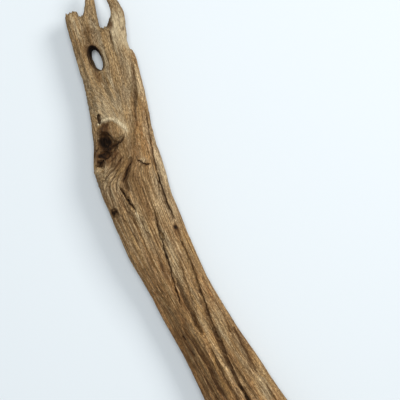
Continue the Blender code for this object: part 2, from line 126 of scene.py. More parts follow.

# Cracks in the face: width, depth, darkness and path. The darkness is dark wood in
# the crack and painted shade in a soft band round it.
CRACKS = [
    # right third, from the strip at the fork down to the butt
    (2.4, 1.2, 0.4, [(322, 0.2), (314, 1.8), (305, 4.8), (296, 8), (285, 11.6), (276, 14)]),
    (1.2, 1.2, 0.75, [(288, 3.4), (272, 6.4), (261, 8.8), (250, 11), (240, 12)]),
    (2.0, 2.6, 1.0, [(244, 11.4), (236, 12.6), (227, 13.3), (218, 13.3), (209, 12)]),
    (1.0, 1.5, 0.8, [(198, 13.6), (188, 13.1), (178, 13.1), (168, 12.9), (158, 14.3),
                     (146, 14), (135, 15)]),
    (2.6, 1.6, 0.42, [(184, 13.2), (171, 13.4), (158, 14.3), (146, 14), (135, 15), (124, 13.2)]),
    (2.8, 1.8, 0.45, [(136, 15), (118, 13.6), (109, 13.9), (101, 13.3), (90, 12.6), (80, 10.6)]),
    (1.0, 1.0, 0.6, [(140, 14.6), (126, 13.4), (116, 12.6), (104, 13.5), (94, 13.2)]),
    (1.5, 2.6, 0.9, [(90, 13), (84, 11.2), (76, 9.9), (64, 6.6), (50, 3.4), (38, 1.6)]),
    # middle, through the borer's hole
    (0.9, 1.6, 0.8, [(221, 22.8), (212, 23.9), (205, 24.5), (201, 24.6)]),
    (0.9, 1.5, 0.9, [(203, 24.4), (192, 25.9), (183, 26.7), (174, 27.7), (164, 28.8), (152, 29)]),
    (2.4, 1.6, 0.42, [(172, 26), (159, 25.6), (152, 25.3), (144, 24), (136, 24.3), (129, 22.6)]),
    (0.8, 0.6, 0.4, [(190, 18.8), (180, 19.4), (171, 20.1), (160, 20.6), (148, 21.4), (140, 21)]),
    (0.8, 0.7, 0.4, [(240, 24), (226, 25.7), (217, 26.8)]),
    (0.8, 0.5, 0.3, [(214, 18.4), (200, 18.6), (186, 17.4), (172, 17)]),
    # left half, below the knot
    (1.0, 2.6, 0.95, [(243.5, 38.9), (239, 38.1), (232, 36.5), (223.5, 34.4)]),
    (0.8, 0.9, 0.5, [(244, 41), (234, 41.4), (228, 40.3), (216, 37.7), (203, 37), (188, 36.4)]),
    (0.8, 0.9, 0.4, [(222, 32.8), (209, 33.6), (203, 31.5), (194, 31.5), (185, 32.1), (172, 33)]),
    (1.2, 2.2, 1.0, [(257, 25), (252.6, 29.6), (248.6, 32.6), (244, 36.2)]),
    # broad band of painted shade beside the crack above
    (3.6, 0.9, 0.34, [(259, 24), (252.6, 28.8), (248.2, 31.6), (243, 34.4), (238, 34)]),
    (1.0, 1.0, 0.6, [(262, 28), (258.4, 33), (255.3, 38.2), (251.5, 45.7), (249, 50)]),
    (0.9, 0.9, 0.6, [(253, 36.6), (249.9, 40.9), (247.5, 44.6), (244.2, 46.1), (240.9, 47.4),
                     (233, 47.6)]),
    (0.8, 0.8, 0.5, [(250, 45), (247.3, 46.8), (243.2, 49), (239.2, 50), (232, 49.8)]),
    (0.9, 0.9, 0.6, [(251, 35.6), (246.1, 39.6), (242.4, 41.3), (238.4, 42.4), (234.1, 42.6),
                     (228, 41.6)]),
    (0.8, 0.9, 0.6, [(244.6, 37.6), (239, 39.7), (235.1, 39.5), (231.7, 39.2), (227.5, 38.4),
                     (218, 36.6)]),
    (0.9, 0.8, 0.45, [(250, 43), (240.4, 47.3), (231, 47.9), (220.8, 44), (212.2, 42.1),
                      (198, 40)]),
    (0.8, 0.5, 0.3, [(238, 31), (228, 30.4), (214, 29.8), (204, 28.6), (190, 29.6)]),
    (0.8, 0.6, 0.3, [(196, 40), (180, 39.4), (166, 38.6), (150, 37)]),
    # curled scar under the strip's groove
    (1.2, 1.3, 0.85, [(255.6, 21.4), (254, 19.1), (251.4, 18.4), (249.8, 16.6), (250.6, 13.6)]),
    # lower end
    (1.4, 0.9, 0.35, [(168, 8.6), (152, 8.4), (139, 5.3), (133, 4.7), (126, 4.9), (112, 2.4)]),
    (2.8, 1.6, 0.5, [(127, 1.4), (116, 0.6), (107, -0.3), (99, -1.4), (91, -2.8)]),
    (1.6, 1.8, 0.9, [(133, 36.4), (130.8, 35.9), (128.6, 35)]),
    (1.4, 1.4, 0.8, [(122, 35), (119.6, 34.4), (117, 33.4)]),
    (0.9, 0.7, 0.35, [(113, 12.2), (103, 10.6), (93, 8.6), (84, 6.4), (74, 4)]),
    (2.0, 1.4, 0.5, [(141, 34.6), (126, 30.5), (115, 28.3), (107, 26.8), (96, 26.6), (78, 22.6)]),
    (1.6, 1.2, 0.5, [(114, 34), (98, 32), (84, 29.6), (64, 27), (34, 22), (12, 17)]),
    (1.6, 1.1, 0.4, [(121, 20.9), (111, 20.3), (100, 19.9), (90, 18.3), (74, 15.6), (46, 10)]),
    (0.9, 0.9, 0.5, [(150, 32), (134, 28.4), (124, 26.2), (110, 24), (92, 22.6)]),
    (0.9, 0.8, 0.5, [(132, 37), (118, 34.6), (104, 34.4), (88, 33)]),
    (1.1, 1.2, 0.5, [(88, -4), (66, -8), (42, -11), (16, -11)]),
    (1.1, 1.3, 0.6, [(74, 1.4), (52, -3), (30, -5), (8, -5)]),
    (1.1, 1.4, 0.6, [(62, 14.4), (40, 11), (20, 9), (2, 7)]),
    # slit beside the knot, and the crack under its dome
    (2.4, 3.0, 1.0, [(294.6, 34.9), (291, 35.3), (287, 36.2)]),
    (2.4, 1.7, 0.85, [(273.6, 23.6), (271.9, 26), (270.8, 30), (270.6, 36)]),
    (0.8, 0.9, 0.4, [(266, 40.6), (262, 42), (257, 44.6)]),
    # torn wood between the knot's hollows
    (1.6, 1.1, 0.8, [(270.8, 31), (269, 35.6), (267.4, 41), (266, 46)]),
    (1.4, 1.0, 0.75, [(267.6, 32), (265.8, 36.4), (263.6, 41.6), (261.6, 46.6)]),
    (1.1, 0.8, 0.65, [(265, 30.6), (262.6, 34.6), (260.8, 39)]),
    (2.0, 0.6, 1.0, [(260.4, 49.8), (262, 46), (264.4, 40.6)]),
    (1.2, 0.9, 0.7, [(273.4, 42), (271, 45.4), (268, 48)]),
    # flat slab below the fork
    (0.7, 0.9, 0.6, [(346.4, 7.2), (340, 8.2), (336, 8.4)]),
    (0.7, 0.4, 0.3, [(340, 3.4), (326, 6.6), (310, 11.2), (298, 15.4)]),
    (0.7, 0.4, 0.3, [(334, 8.8), (326, 14), (312, 16.6), (298, 19.4)]),
    (0.6, 0.3, 0.15, [(318, 20.6), (308, 21.6), (298, 21.8), (290, 24)]),
    (0.8, 0.7, 0.5, [(361, 27.4), (350, 28.6), (338, 29.2)]),
    (0.7, 0.5, 0.3, [(372, 11.8), (362, 13.6), (352, 16), (344, 18)]),
    (0.7, 0.5, 0.3, [(368, -1.6), (356, -2.8), (348, -1.6), (338, 1)]),
]
# Ridges that catch the light: width, height and path.
RIDGES = [
    (4.4, 0.6, KNOB_COLLAR),
    (1.6, 0.6, [(356, 27), (336, 27.6), (320, 29.4), (306, 31.6), (292, 35), (282, 40)]),
    (6.0, 0.9, [(144, 31), (136, 28), (129, 24), (122.6, 20.2), (110, 17.8), (94, 14.6),
                (80, 12)]),
    (1.3, 0.8, [(127, 4.4), (118, 3.6), (110, 3), (101, 2.4), (90, 1)]),
    (1.7, 1.1, [(257.4, 21), (255.8, 18), (252.4, 16), (252.8, 13)]),
    (1.8, 0.7, [(262, 46.6), (259, 49.8), (257, 53)]),
    (1.2, 0.5, [(242, 36), (236, 34.8), (229, 33.4), (222, 32)]),
    (1.7, 0.5, [(286, 1.8), (274, 4), (263, 6.2), (250, 8.6)]),
    (1.4, 0.5, [(240, 14.6), (226, 15.6), (212, 15.4), (200, 17)]),
    (1.6, 0.6, [(277, 45), (271, 44.6), (266, 46.6), (262.6, 49.6)]),
    (1.2, 0.5, [(201, 10.6), (196, 11.4), (190, 12.2)]),
]
# Soft-edged zones of the face, each with its place, half sizes and share. Bleached
# and pale: round the knot, the two prongs, the strip and the right edge below it.
# On that right edge and on the curled scar's ridge the pale is painted light, where
# the light falls.
PALE_AND_LIT_ZONES = [
    ((289.4, 30.2), (4.4, 8.0), 0.5),
    ((282, 21.4), (7, 3.0), 0.5),
    ((257, 48.6), (3.6, 4), 0.45),
    ((296, 27), (9, 9), 0.25),
    ((342, -1), (17, 8), 0.62),
    ((253.6, 17.6), (2.4, 3.6), 0.3),
    ((300, 20), (14, 12), 0.15),
    ((247, 45), (16, 8), 0.2),
    ((250, 6.5), (34, 4.5), 0.42),
    ((224, 13), (22, 5), 0.32),
    ((308, 2), (18, 4), 0.4),
    ((355, 28), (12, 1.6), 0.6),
]
# Damp and dirty, with painted shade: the hollows and the wood below them, between
# the hole and the fork, the borers' pits and the left flank. The zones along the
# left edge and flank and the one below the hole are painted shade of parts that
# lie in shadow.
DIRT_AND_SHADE_ZONES = [
    ((268, 37), (11, 10), 1.0),
    ((238, 52.6), (24, 3.4), 0.4),
    ((346, 21), (10, 6), 0.6),
    ((338, 24), (7, 6), 0.7),
    ((349.4, 5.0), (5, 2.2), 0.9),
    ((343.1, -1.7), (1.6, 1.4), 1.0),
    ((350, 33), (24, 3.6), 0.25),
    ((252, 23), (22, 7), 0.5),
    ((261, 34), (9, 7), 0.75),
    ((265, 25), (7, 5), 0.6),
    ((271, 46), (10, 4), 0.85),
    ((249, 29), (8, 3.5), 0.6),
    ((242, 30), (15, 9), 0.55),
    ((302, 15), (9, 4), 0.35),
    ((220, 25.8), (6, 2), 0.6),
    ((200.5, 13.8), (6, 2.4), 0.9),
    ((178, 30.5), (9, 2.6), 0.6),
    ((319.4, 25.6), (6.4, 2.8), 0.8),
    ((122, 37), (28, 6), 0.75),
    ((168, 38), (34, 5), 0.5),
    ((110, 3), (26, 5), 0.35),
]
# Silvered: the slab and the long strands of the lower half.
SILVER_ZONES = [
    ((128, 9), (17, 4), 1.0),
    ((106, 3.4), (17, 4.5), 0.9),
    ((84, -3), (17, 5), 1.0),
    ((212, 33), (18, 3), 0.9),
    ((184, 23.6), (26, 4.6), 0.9),
    ((144, 19), (20, 3.4), 0.8),
    ((300, 24), (30, 10), 0.7),
    ((342, 14), (20, 14), 0.5),
    ((306, 40), (16, 5), 0.5),
]
# Warm and yellow: the rib near the butt, the left edge below the knot, and the
# right side of its collar.
OCHRE_ZONES = [
    ((132, 25.5), (16, 4.5), 1.0),
    ((104, 20.5), (26, 4.5), 1.0),
    ((257, 48.4), (5, 4.6), 1.0),
    ((120, 30), (20, 5), 0.5),
    ((282, 20), (6, 4), 0.4),
    ((190, 10), (14, 3), 0.5),
]

# Patterns of the colour, all along the grain: length, width, octaves and seed.
# Growth lines in such wood are 0.5 to 3 mm apart and weathered patches some
# centimetres long. Lines and specks finer than 0.5 mm wouldn't show, so they are
# drawn 0.5 to 0.7 mm wide.
PATTERNS = {
    "red patches": (40, 5, 4, 3),
    "warm patches": (11, 2.6, 4, 37),
    "silver streaks": (60, 4.5, 4, 11),
    "warm streaks": (12, 1.8, 4, 47),
    "bleached streaks": (30, 3, 4, 7),
    "light fibres": (26, 0.9, 3, 29),
    "pale grain": (10, 2.0, 4, 17),
    "dirty grain": (9, 2.2, 4, 13),
    "broad lines": (34, 1.7, 5, 1),
    "growth lines": (50, 1.9, 1, 53),
    "thin lines": (24, 0.6, 3, 5),
    "light lines": (16, 0.5, 2, 41),
    "light specks": (1.5, 0.6, 2, 59),
    "dark specks": (1.6, 0.65, 2, 19),
    "slab dashes": (2.8, 0.9, 2, 43),
    "rot and shade patches": (3, 1.2, 3, 31),
    "gloss": (20, 2, 2, 23),
    "fibre bumps": (14, 0.5, 4, 9),
}
PATTERN_ROUGHNESS = 0.62

# Coats of colour in the order that they are laid: the colour, the pattern or
# mark that it follows, where that starts to show and where it is full, the most
# of the colour that it lays, and the zones that it keeps to.
COATS = [
    # slow change from redder to silvered wood
    ("brown", "red patches", 0.3, 0.6, 1.0, ["brown"]),
    ("ochre", "warm patches", 0.5, 0.62, 0.35, ["brown"]),
    ("grey", "silver streaks", 0.4, 0.6, 0.85, ["bleached"]),
    ("ochre", "warm streaks", 0.35, 0.58, 1.0, ["ochre"]),
    # bleached crests and light fibres, and zones broken up by the grain
    ("straw", "bleached streaks", 0.38, 0.62, 0.36, ["crest"]),
    ("straw", "light fibres", 0.52, 0.66, 0.25, []),
    # pale wood, with painted light on the lit right edge and the scar's ridge
    ("straw", "pale grain", 0.2, 0.54, 1.0, ["pale_and_lit"]),
    # dirt and painted shade where those zones lie
    ("dirt_and_shade_tone", "dirty grain", 0.22, 0.56, 1.0, ["dirt_and_shade"]),
    # dark and light lines between the fibres, and grit
    ("line", "broad lines", 0.53, 0.66, 0.3, ["lined"]),
    ("line", "line middles", 0.47, 0.5, 0.45, ["marked"]),
    ("line", "thin lines", 0.49, 0.57, 0.66, ["lined"]),
    ("lighter", "light lines", 0.48, 0.56, 0.45, ["lined"]),
    ("lighter", "light specks", 0.5, 0.57, 0.4, ["marked"]),
    ("line", "dark specks", 0.52, 0.59, 0.55, ["marked"]),
    ("line", "slab dashes", 0.55, 0.62, 0.62, ["marked", "slab"]),
    # painted shade in the valleys of the grain, darker where the grain is lower
    ("line", "height", 0.45, 0.1, 0.7, ["marked"]),
    # rotted wood and painted shade: brown at the edge of a crack or hollow and on the soft band
    # round a crack, black inside, and dark on the hole's wall and the knot's shaded side
    ("dirt_and_shade_tone", "rotted", 0.0, 0.5, 0.85, []),
    ("rot", "rotted", 0.35, 0.95, 1.0, ["uneven"]),
]
# Bare wood doesn't shine: an IOR near that of dry wood, a weak highlight, and
# fibres of this height in the bump.
WOOD_IOR, WOOD_HIGHLIGHT = 1.45, 0.2
WOOD_ROUGHNESS = (0.7, 0.95)
BUMP_STRENGTH, BUMP_HEIGHT = 0.9, 0.0007

# The stage, in metres. The camera looks straight down on the middle of the view,
# and the lights stand to the right of it, towards its top and up.
VIEW_MIDDLE = (0.02435, -0.02404, 0.025)
VIEW_WIDTH, VIEW_DISTANCE = 0.272, 0.75
KEY_OFFSET, KEY_SIZE, KEY_SHADE = (1.05, 0.75, 1.25), 0.8, (1.0, 0.985, 0.96)
TOP_OFFSET, TOP_SIZE, TOP_SHADE = (0.0, 0.1, 1.3), 0.4, (0.97, 0.985, 1.0)
FLOOR_REACH, FLOOR_ROUGHNESS = 3.0, 0.9
ROOM_SHADE, ROOM_STRENGTH = (0.94, 0.97, 1.0, 1.0), 0.32


def srgb(text):
    """Linear colour from an sRGB hex value."""
    parts = [int(text[i:i + 2], 16) / 255.0 for i in (0, 2, 4)]
    return tuple(c / 12.92 if c <= 0.04045 else ((c + 0.055) / 1.055) ** 2.4 for c in parts)


def colour(name, description, text):
    """Colour property whose default is an sRGB hex value."""
    return FloatVectorProperty(name=name, description=description, subtype="COLOR",
                               size=3, min=0.0, max=1.0, default=srgb(text))


def length(name, description, value):
    """Length property in metres."""
    return FloatProperty(name=name, description=description, default=value,
                         min=0.0, subtype="DISTANCE", unit="LENGTH")


class WoodSizes(bpy.types.PropertyGroup):
    """Sizes of the wood's carved surface."""
    grid: length("Grid", "Voxel size of the fine surface", 0.00042)
    fibre_depth: length("Fibre depth", "Height of the finest ridges of the grain", 0.00024)
    strand_depth: length("Strand depth", "Depth of the lines between the strands", 0.0005)
    furrow_depth: length("Furrow depth", "Depth of the broad worn furrows", 0.0008)
    swell_depth: length("Swell depth", "Height of the slow unevenness", 0.0004)
    end_depth: length("End raggedness", "Length of the fibres at the snapped ends", 0.0016)
    triangles: IntProperty(name="Triangles", description="Most triangles in the wood",
                           default=194000, min=20000)


class WoodColours(bpy.types.PropertyGroup):
    """Colours of the weathered wood."""
    tan: colour("Tan", "Bare wood between the grain lines", "9A7D53")
    brown: colour("Brown", "Less bleached, redder wood", "825B34")
    ochre: colour("Ochre", "Warm, yellow patches in the redder wood", "9E7B4B")
    straw: colour("Straw", "Bleached crests of the ridges", "D0BF9C")
    grey: colour("Grey", "Silvered, weathered patches", "857860")
    line: colour("Line", "Dark lines between the fibres", "48321A")
    # Also laid as painted shade on shadowed parts, on the knot's shaded side and round cracks.
    dirt_and_shade_tone: colour("Dirt", "Damp, dirty wood round the knot", "4A3019")
    # Also laid as painted shade on the hole's wall and the knot's shaded side, and in the
    # hollows.
    rot: colour("Rot", "Rotted wood in the cracks and hollows", "150C06")


class StageSettings(bpy.types.PropertyGroup):
    """Floor, lights and camera."""
    distance: length("Distance", "Camera height above the wood's face", VIEW_DISTANCE)
    field: FloatProperty(name="Field", description="Camera's field of view",
                         default=2 * math.atan(VIEW_WIDTH / 2 / VIEW_DISTANCE),
                         subtype="ANGLE")
    turn: FloatProperty(name="Turn", description="Turn of the picture about the vertical",
                        default=math.radians(-111.3), subtype="ANGLE")
    floor: colour("Floor", "Plain pale floor", "D9E0E4")
    key: FloatProperty(name="Key", description="Power of the soft main light",
                       default=18.0, unit="POWER")
    fill: FloatProperty(name="Fill", description="Power of the overhead light",
                        default=10.5, unit="POWER")


def eased(low, high, value):
    """0 below low, 1 above high and a smooth ramp between."""
    share = np.clip((value - low) / (high - low), 0.0, 1.0)
    return share * share * (3.0 - 2.0 * share)


def noise_at(points, sizes, seed):
    """Smooth noise, about -1 to 1, whose features have these sizes."""
    places = (points / np.array(sizes, float) + seed).tolist()
    return np.array([noise.noise(place) for place in places])


def two_noises(points, sizes, seeds):
    """Two noises side by side, to shift a place along and across the wood."""
    return np.stack([noise_at(points, sizes, seed) for seed in seeds], 1)


def worn_lines(grain, sizes, seed, width):
    """1 along the lines where the noise crosses zero, and 0 at their edges."""
    return 1 - np.clip(np.abs(noise_at(grain, sizes, seed)) / width, 0, 1)


def smooth_path(points, step):
    """Points at even steps along a curve through the path's points."""
    points = np.asarray(points, float)
    runs = np.concatenate([[0.0], np.cumsum(np.linalg.norm(np.diff(points, axis=0), axis=1))])
    along = np.linspace(0.0, runs[-1], max(3, int(runs[-1] / step)))
    straight = np.stack([np.interp(along, runs, points[:, k]) for k in (0, 1)], 1)
    for _ in range(3):
        straight[1:-1] = (straight[:-2] + 2 * straight[1:-1] + straight[2:]) / 4
    return straight


def along_path(place, width, points):
    """Share of a line's full depth at each place: 1 on it, 0 beside it."""
    path = smooth_path(points, 1.0)
    share = np.zeros(len(place))
    low, high = path.min(0) - width, path.max(0) + width
    near = np.flatnonzero(np.all((place > low) & (place < high), axis=1))
    spot = place[near]
    best, where = np.full(len(near), 1e9), np.zeros(len(near))
    for index, (start, end) in enumerate(zip(path[:-1], path[1:])):
        run = end - start
        t = np.clip((spot - start) @ run / (run @ run), 0, 1)
        distance = np.linalg.norm(spot - start - t[:, None] * run, axis=1)
        closer = distance < best
        best[closer] = distance[closer]
        where[closer] = (index + t[closer]) / (len(path) - 1)
    taper = np.sqrt(eased(0.0, 0.2, where) * eased(0.0, 0.2, 1 - where))
    share[near] = 1 - eased(0.0, 1.0, best / (width / 2) / np.maximum(taper, 0.05))
    return share


def zone(place, zones):
    """Greatest share of the soft-edged zones at each place."""
    share = np.zeros(len(place))
    for middle, half, amount in zones:
        far = np.linalg.norm((place - middle) / np.array(half), axis=1)
        share = np.maximum(share, amount * (1 - eased(0.45, 1.25, far)))
    return share


def in_hollow(points, ragged):
    """Share of a hollow's wall at each point, and how dark it is there, as rotted wood and
    painted shade.
    """
    wall, dark = np.zeros(len(points)), np.zeros(len(points))
    for centre, half, core, rim in HOLLOWS:
        offset = (points - centre) / np.array(half)
        share = 1 - eased(0.96, 1.22, np.linalg.norm(offset, axis=1))
        across = np.linalg.norm(offset[:, :2], axis=1) + 0.4 * ragged
        wall = np.maximum(wall, share)
        black = 1 - eased(core - 0.25, core + 0.2, across)
        # The wood on a hollow's right side is sounder.
        sound = 0.4 * (1 - eased(-1.0, -0.3, offset[:, 1]))
        dark = np.maximum(dark, share * (rim * (1 - sound) + (1 - rim) * black))
    return wall, dark


def in_hole(points):
    """1 on the wall of the through-hole, 0 away from it."""
    low, high = HOLE_HEIGHTS
    share = np.clip((points[:, 2] - low) / (high - low), 0, 1)[:, None]
    back, face = np.array(HOLE_BACK), np.array(HOLE_FACE)
    back_half, face_half = np.array(HOLE_BACK_HALF), np.array(HOLE_FACE_HALF)
    middle = back + (face - back) * share
    half = back_half + (face_half - back_half) * share
    far = np.linalg.norm((points[:, :2] - middle) / half, axis=1)
    return 1 - eased(1.02, 1.2, far)


def outline_of(points, step=4.0):
    """The branch's edges and its top and bottom at even steps along it."""
    x = points[:, 0]
    centres = np.arange(x.min() + step, x.max() - step, step)
    rows = []
    for centre in centres:
        near = points[np.abs(x - centre) < step]
        rows.append([near[:, 1].min(), near[:, 1].max(), near[:, 2].min(), near[:, 2].max()])
    table = np.array(rows).T
    soft = np.ones(5) / 5
    table = np.array([np.convolve(np.pad(row, 2, mode="edge"), soft, "valid") for row in table])
    return centres, table


def grain_space(points):
    """Straightened place of each point: along the grain, across it and up.

    Below the knot the fibres sweep out to the left edge, beside it they pass
    on its right, and they part round the through-hole.
    """
    centres, table = outline_of(points)
    right, left, bottom, top = (np.interp(points[:, 0], centres, row) for row in table)
    x, y = points[:, 0], points[:, 1]
    beside_knot = eased(*KNOT_START, x) * (1 - eased(*KNOT_END, x))
    side = y + KNOT_PUSH * beside_knot * eased(*KNOT_SIDE, y)
    dx, dy = (x - HOLE_MIDDLE[0]) / HOLE_LENGTHENED, y - HOLE_MIDDLE[1]
    side = side - HOLE_PUSH * dy / (dx * dx + dy * dy + HOLE_REACH)
    across = HALF_WIDTH * (side - (left + right) / 2) / ((left - right) / 2)
    above = HALF_THICKNESS * (points[:, 2] - (top + bottom) / 2) / ((top - bottom) / 2)
    return np.stack([x, across, above], 1)


def fine_copy(name, grid):
    """The frame's solid, merged and fused again on a finer grid."""
    source = bpy.data.objects[NODE]
    bm = bmesh.new()
    bm.from_mesh(source.data)
    bm.transform(source.matrix_world)
    bmesh.ops.remove_doubles(bm, verts=bm.verts, dist=MERGE_DISTANCE)
    mesh = bpy.data.meshes.new(name)
    bm.to_mesh(mesh)
    bm.free()
    item = bpy.data.objects.new(name, mesh)
    bpy.context.scene.collection.objects.link(item)
    remesh = item.modifiers.new("fine grid", "REMESH")
    remesh.mode = "VOXEL"
    remesh.voxel_size = grid
    soft = item.modifiers.new("soften", "SMOOTH")
    soft.factor = 0.5
    soft.iterations = SMOOTHINGS
    apply_modifiers(item)
    return item


def apply_modifiers(item):
    """Replace the object's mesh with its evaluated one."""
    graph = bpy.context.evaluated_depsgraph_get()
    mesh = bpy.data.meshes.new_from_object(item.evaluated_get(graph), depsgraph=graph)
    old = item.data
    item.modifiers.clear()
    item.data = mesh
    bpy.data.meshes.remove(old)


def relief(points, grain, face, slab, sizes):
    """Depths in millimetres: of the fibres and strands, and of the broad furrows."""
    strand = worn_lines(grain, STRANDS, 1.3, 0.2)
    close = worn_lines(grain, CLOSE_STRANDS, 15.1, 0.2)
    furrow = worn_lines(grain, FURROWS, 7.7, 0.34)
    worn = eased(-0.3, 0.3, noise_at(grain, WORN_PATCHES, 5.9))
    fibre = noise_at(grain, FIBRES, 2.2) + 0.7 * noise_at(grain, FINE_FIBRES, 4.2)
    swell = noise_at(grain, SWELLS, 8.1)
    pits = eased(0.26, 0.5, noise_at(points, PITS, 12.5))
    fine = sizes.fibre_depth / MM * fibre + 0.3 * pits * (0.4 + 0.6 * slab)
    swirl = eased(*SWIRL_START, points[:, 0]) * (1 - eased(*SWIRL_END, points[:, 0]))
    swirl *= eased(*SWIRL_SIDE, points[:, 1])
    deeper = 1 - 0.55 * face - 0.25 * slab + 0.8 * swirl
    fine += sizes.strand_depth / MM * deeper * (strand * (0.3 + 0.7 * worn) + 0.45 * close)
    broad = sizes.furrow_depth / MM * (1 - 0.65 * face - 0.2 * slab) * furrow ** 1.5
    broad += sizes.swell_depth / MM * swell
    return fine - fine.mean(), broad - broad.mean()


def cut_cracks(place, face):
    """Share of crack and depth in millimetres at each place. The share is dark wood in the crack
    and painted shade in a soft band beside it.
    """
    crack, depth = np.zeros(len(place)), np.zeros(len(place))
    for width, amount, dark, path in CRACKS:
        share = along_path(place, width, path)
        # The soft band, 2.6 times as wide and 0.35 as dark, is painted shade.
        soft = along_path(place, 2.6 * width, path)
        crack = np.maximum(crack, face * dark * np.maximum(share, 0.35 * soft))
        depth = np.maximum(depth, face * amount * (0.85 * share + 0.15 * soft))
    return crack, depth


def raise_ridges(place, grain, face):
    """Share of crest and height in millimetres at each place."""
    crest, height = np.zeros(len(place)), np.zeros(len(place))
    frayed = noise_at(grain, FRAYS, 21.3)
    for width, amount, path in RIDGES:
        share = face * along_path(place, width, path) * (0.75 + 0.5 * frayed)
        crest = np.maximum(crest, share)
        height += amount * share
    return crest, height


def knot_rings(points, rough):
    """Depth in millimetres of the rings and lumps on the knot's dome."""
    far = np.linalg.norm((points - KNOB) / np.array(KNOB_HALF), axis=1)
    ring = np.cos(2 * math.pi * far * KNOB_RINGS + 2.0 * rough)
    lumps = noise_at(points, KNOB_LUMPS, 6.6)
    return (1 - eased(1.0, 1.25, far)) * (0.15 * ring + 0.6 * lumps)


def snapped_fibres(points, normals):
    """Share of snapped end at each point, and how far its fibres stand out."""
    x = points[:, 0]
    end = eased(0.35, 0.8, np.abs(normals[:, 0]))
    end *= np.maximum(1 - eased(*BUTT_TIP, x), eased(*FORK_TIPS, x))
    return end, noise_at(points, SNAPPED, 2.9) + 0.6 * noise_at(points, SNAPPED_FINE, 8.8)


def knot_tones(place, rough, wander):
    """Shares of the knot's face, its part darkened by painted shade, its shaded side and its
    collar.
    """
    from_middle = place + 0.9 * wander - KNOB_FACE
    far = np.linalg.norm(from_middle / np.array(KNOB_FACE_HALF), axis=1)
    knob = 1 - eased(0.85, 1.1, far)
    side = from_middle @ KNOB_TO_SHADE + 0.8 * rough
    # The knot is painted darker towards its side away from the light: painted shade.
    dark = knob * (0.05 + 0.95 * eased(-1.5, 1.5, side))
    collar = along_path(place + 0.6 * wander, COLLAR_WIDTH, KNOB_COLLAR)
    return knob, dark, eased(*SOFT_EDGE, side), collar


def past_groove(x, y):
    """How far each place lies past the groove, towards the strip's side."""
    return (GROOVE_START - x) * GROOVE_SLOPE - y


def brown_wood(place, wander, face, slab):
    """Share of brown wood, and of the worn left flank near the butt, which is also painted with
    shade.
    """
    x, y = place.T
    past_edge = y - FLANK_EDGE[1] + (FLANK_EDGE[0] - x) * FLANK_SPREAD
    flank = eased(*FLANK_SOFT, past_edge) * (1 - eased(*FLANK_END, x))
    bend = GROOVE_STEEPER * np.maximum(GROOVE_BEND - x, 0)
    strip = eased(*SOFT_EDGE, past_groove(x, y) + bend) * eased(*STRIP_START, x)
    low = 1 - eased(*BROWN_END, x)
    brown = 0.4 + 0.35 * low - 0.2 * slab + 0.5 * np.maximum(flank, 0.8 * strip)
    return brown - 0.6 * zone(place + wander, SILVER_ZONES) * face, flank


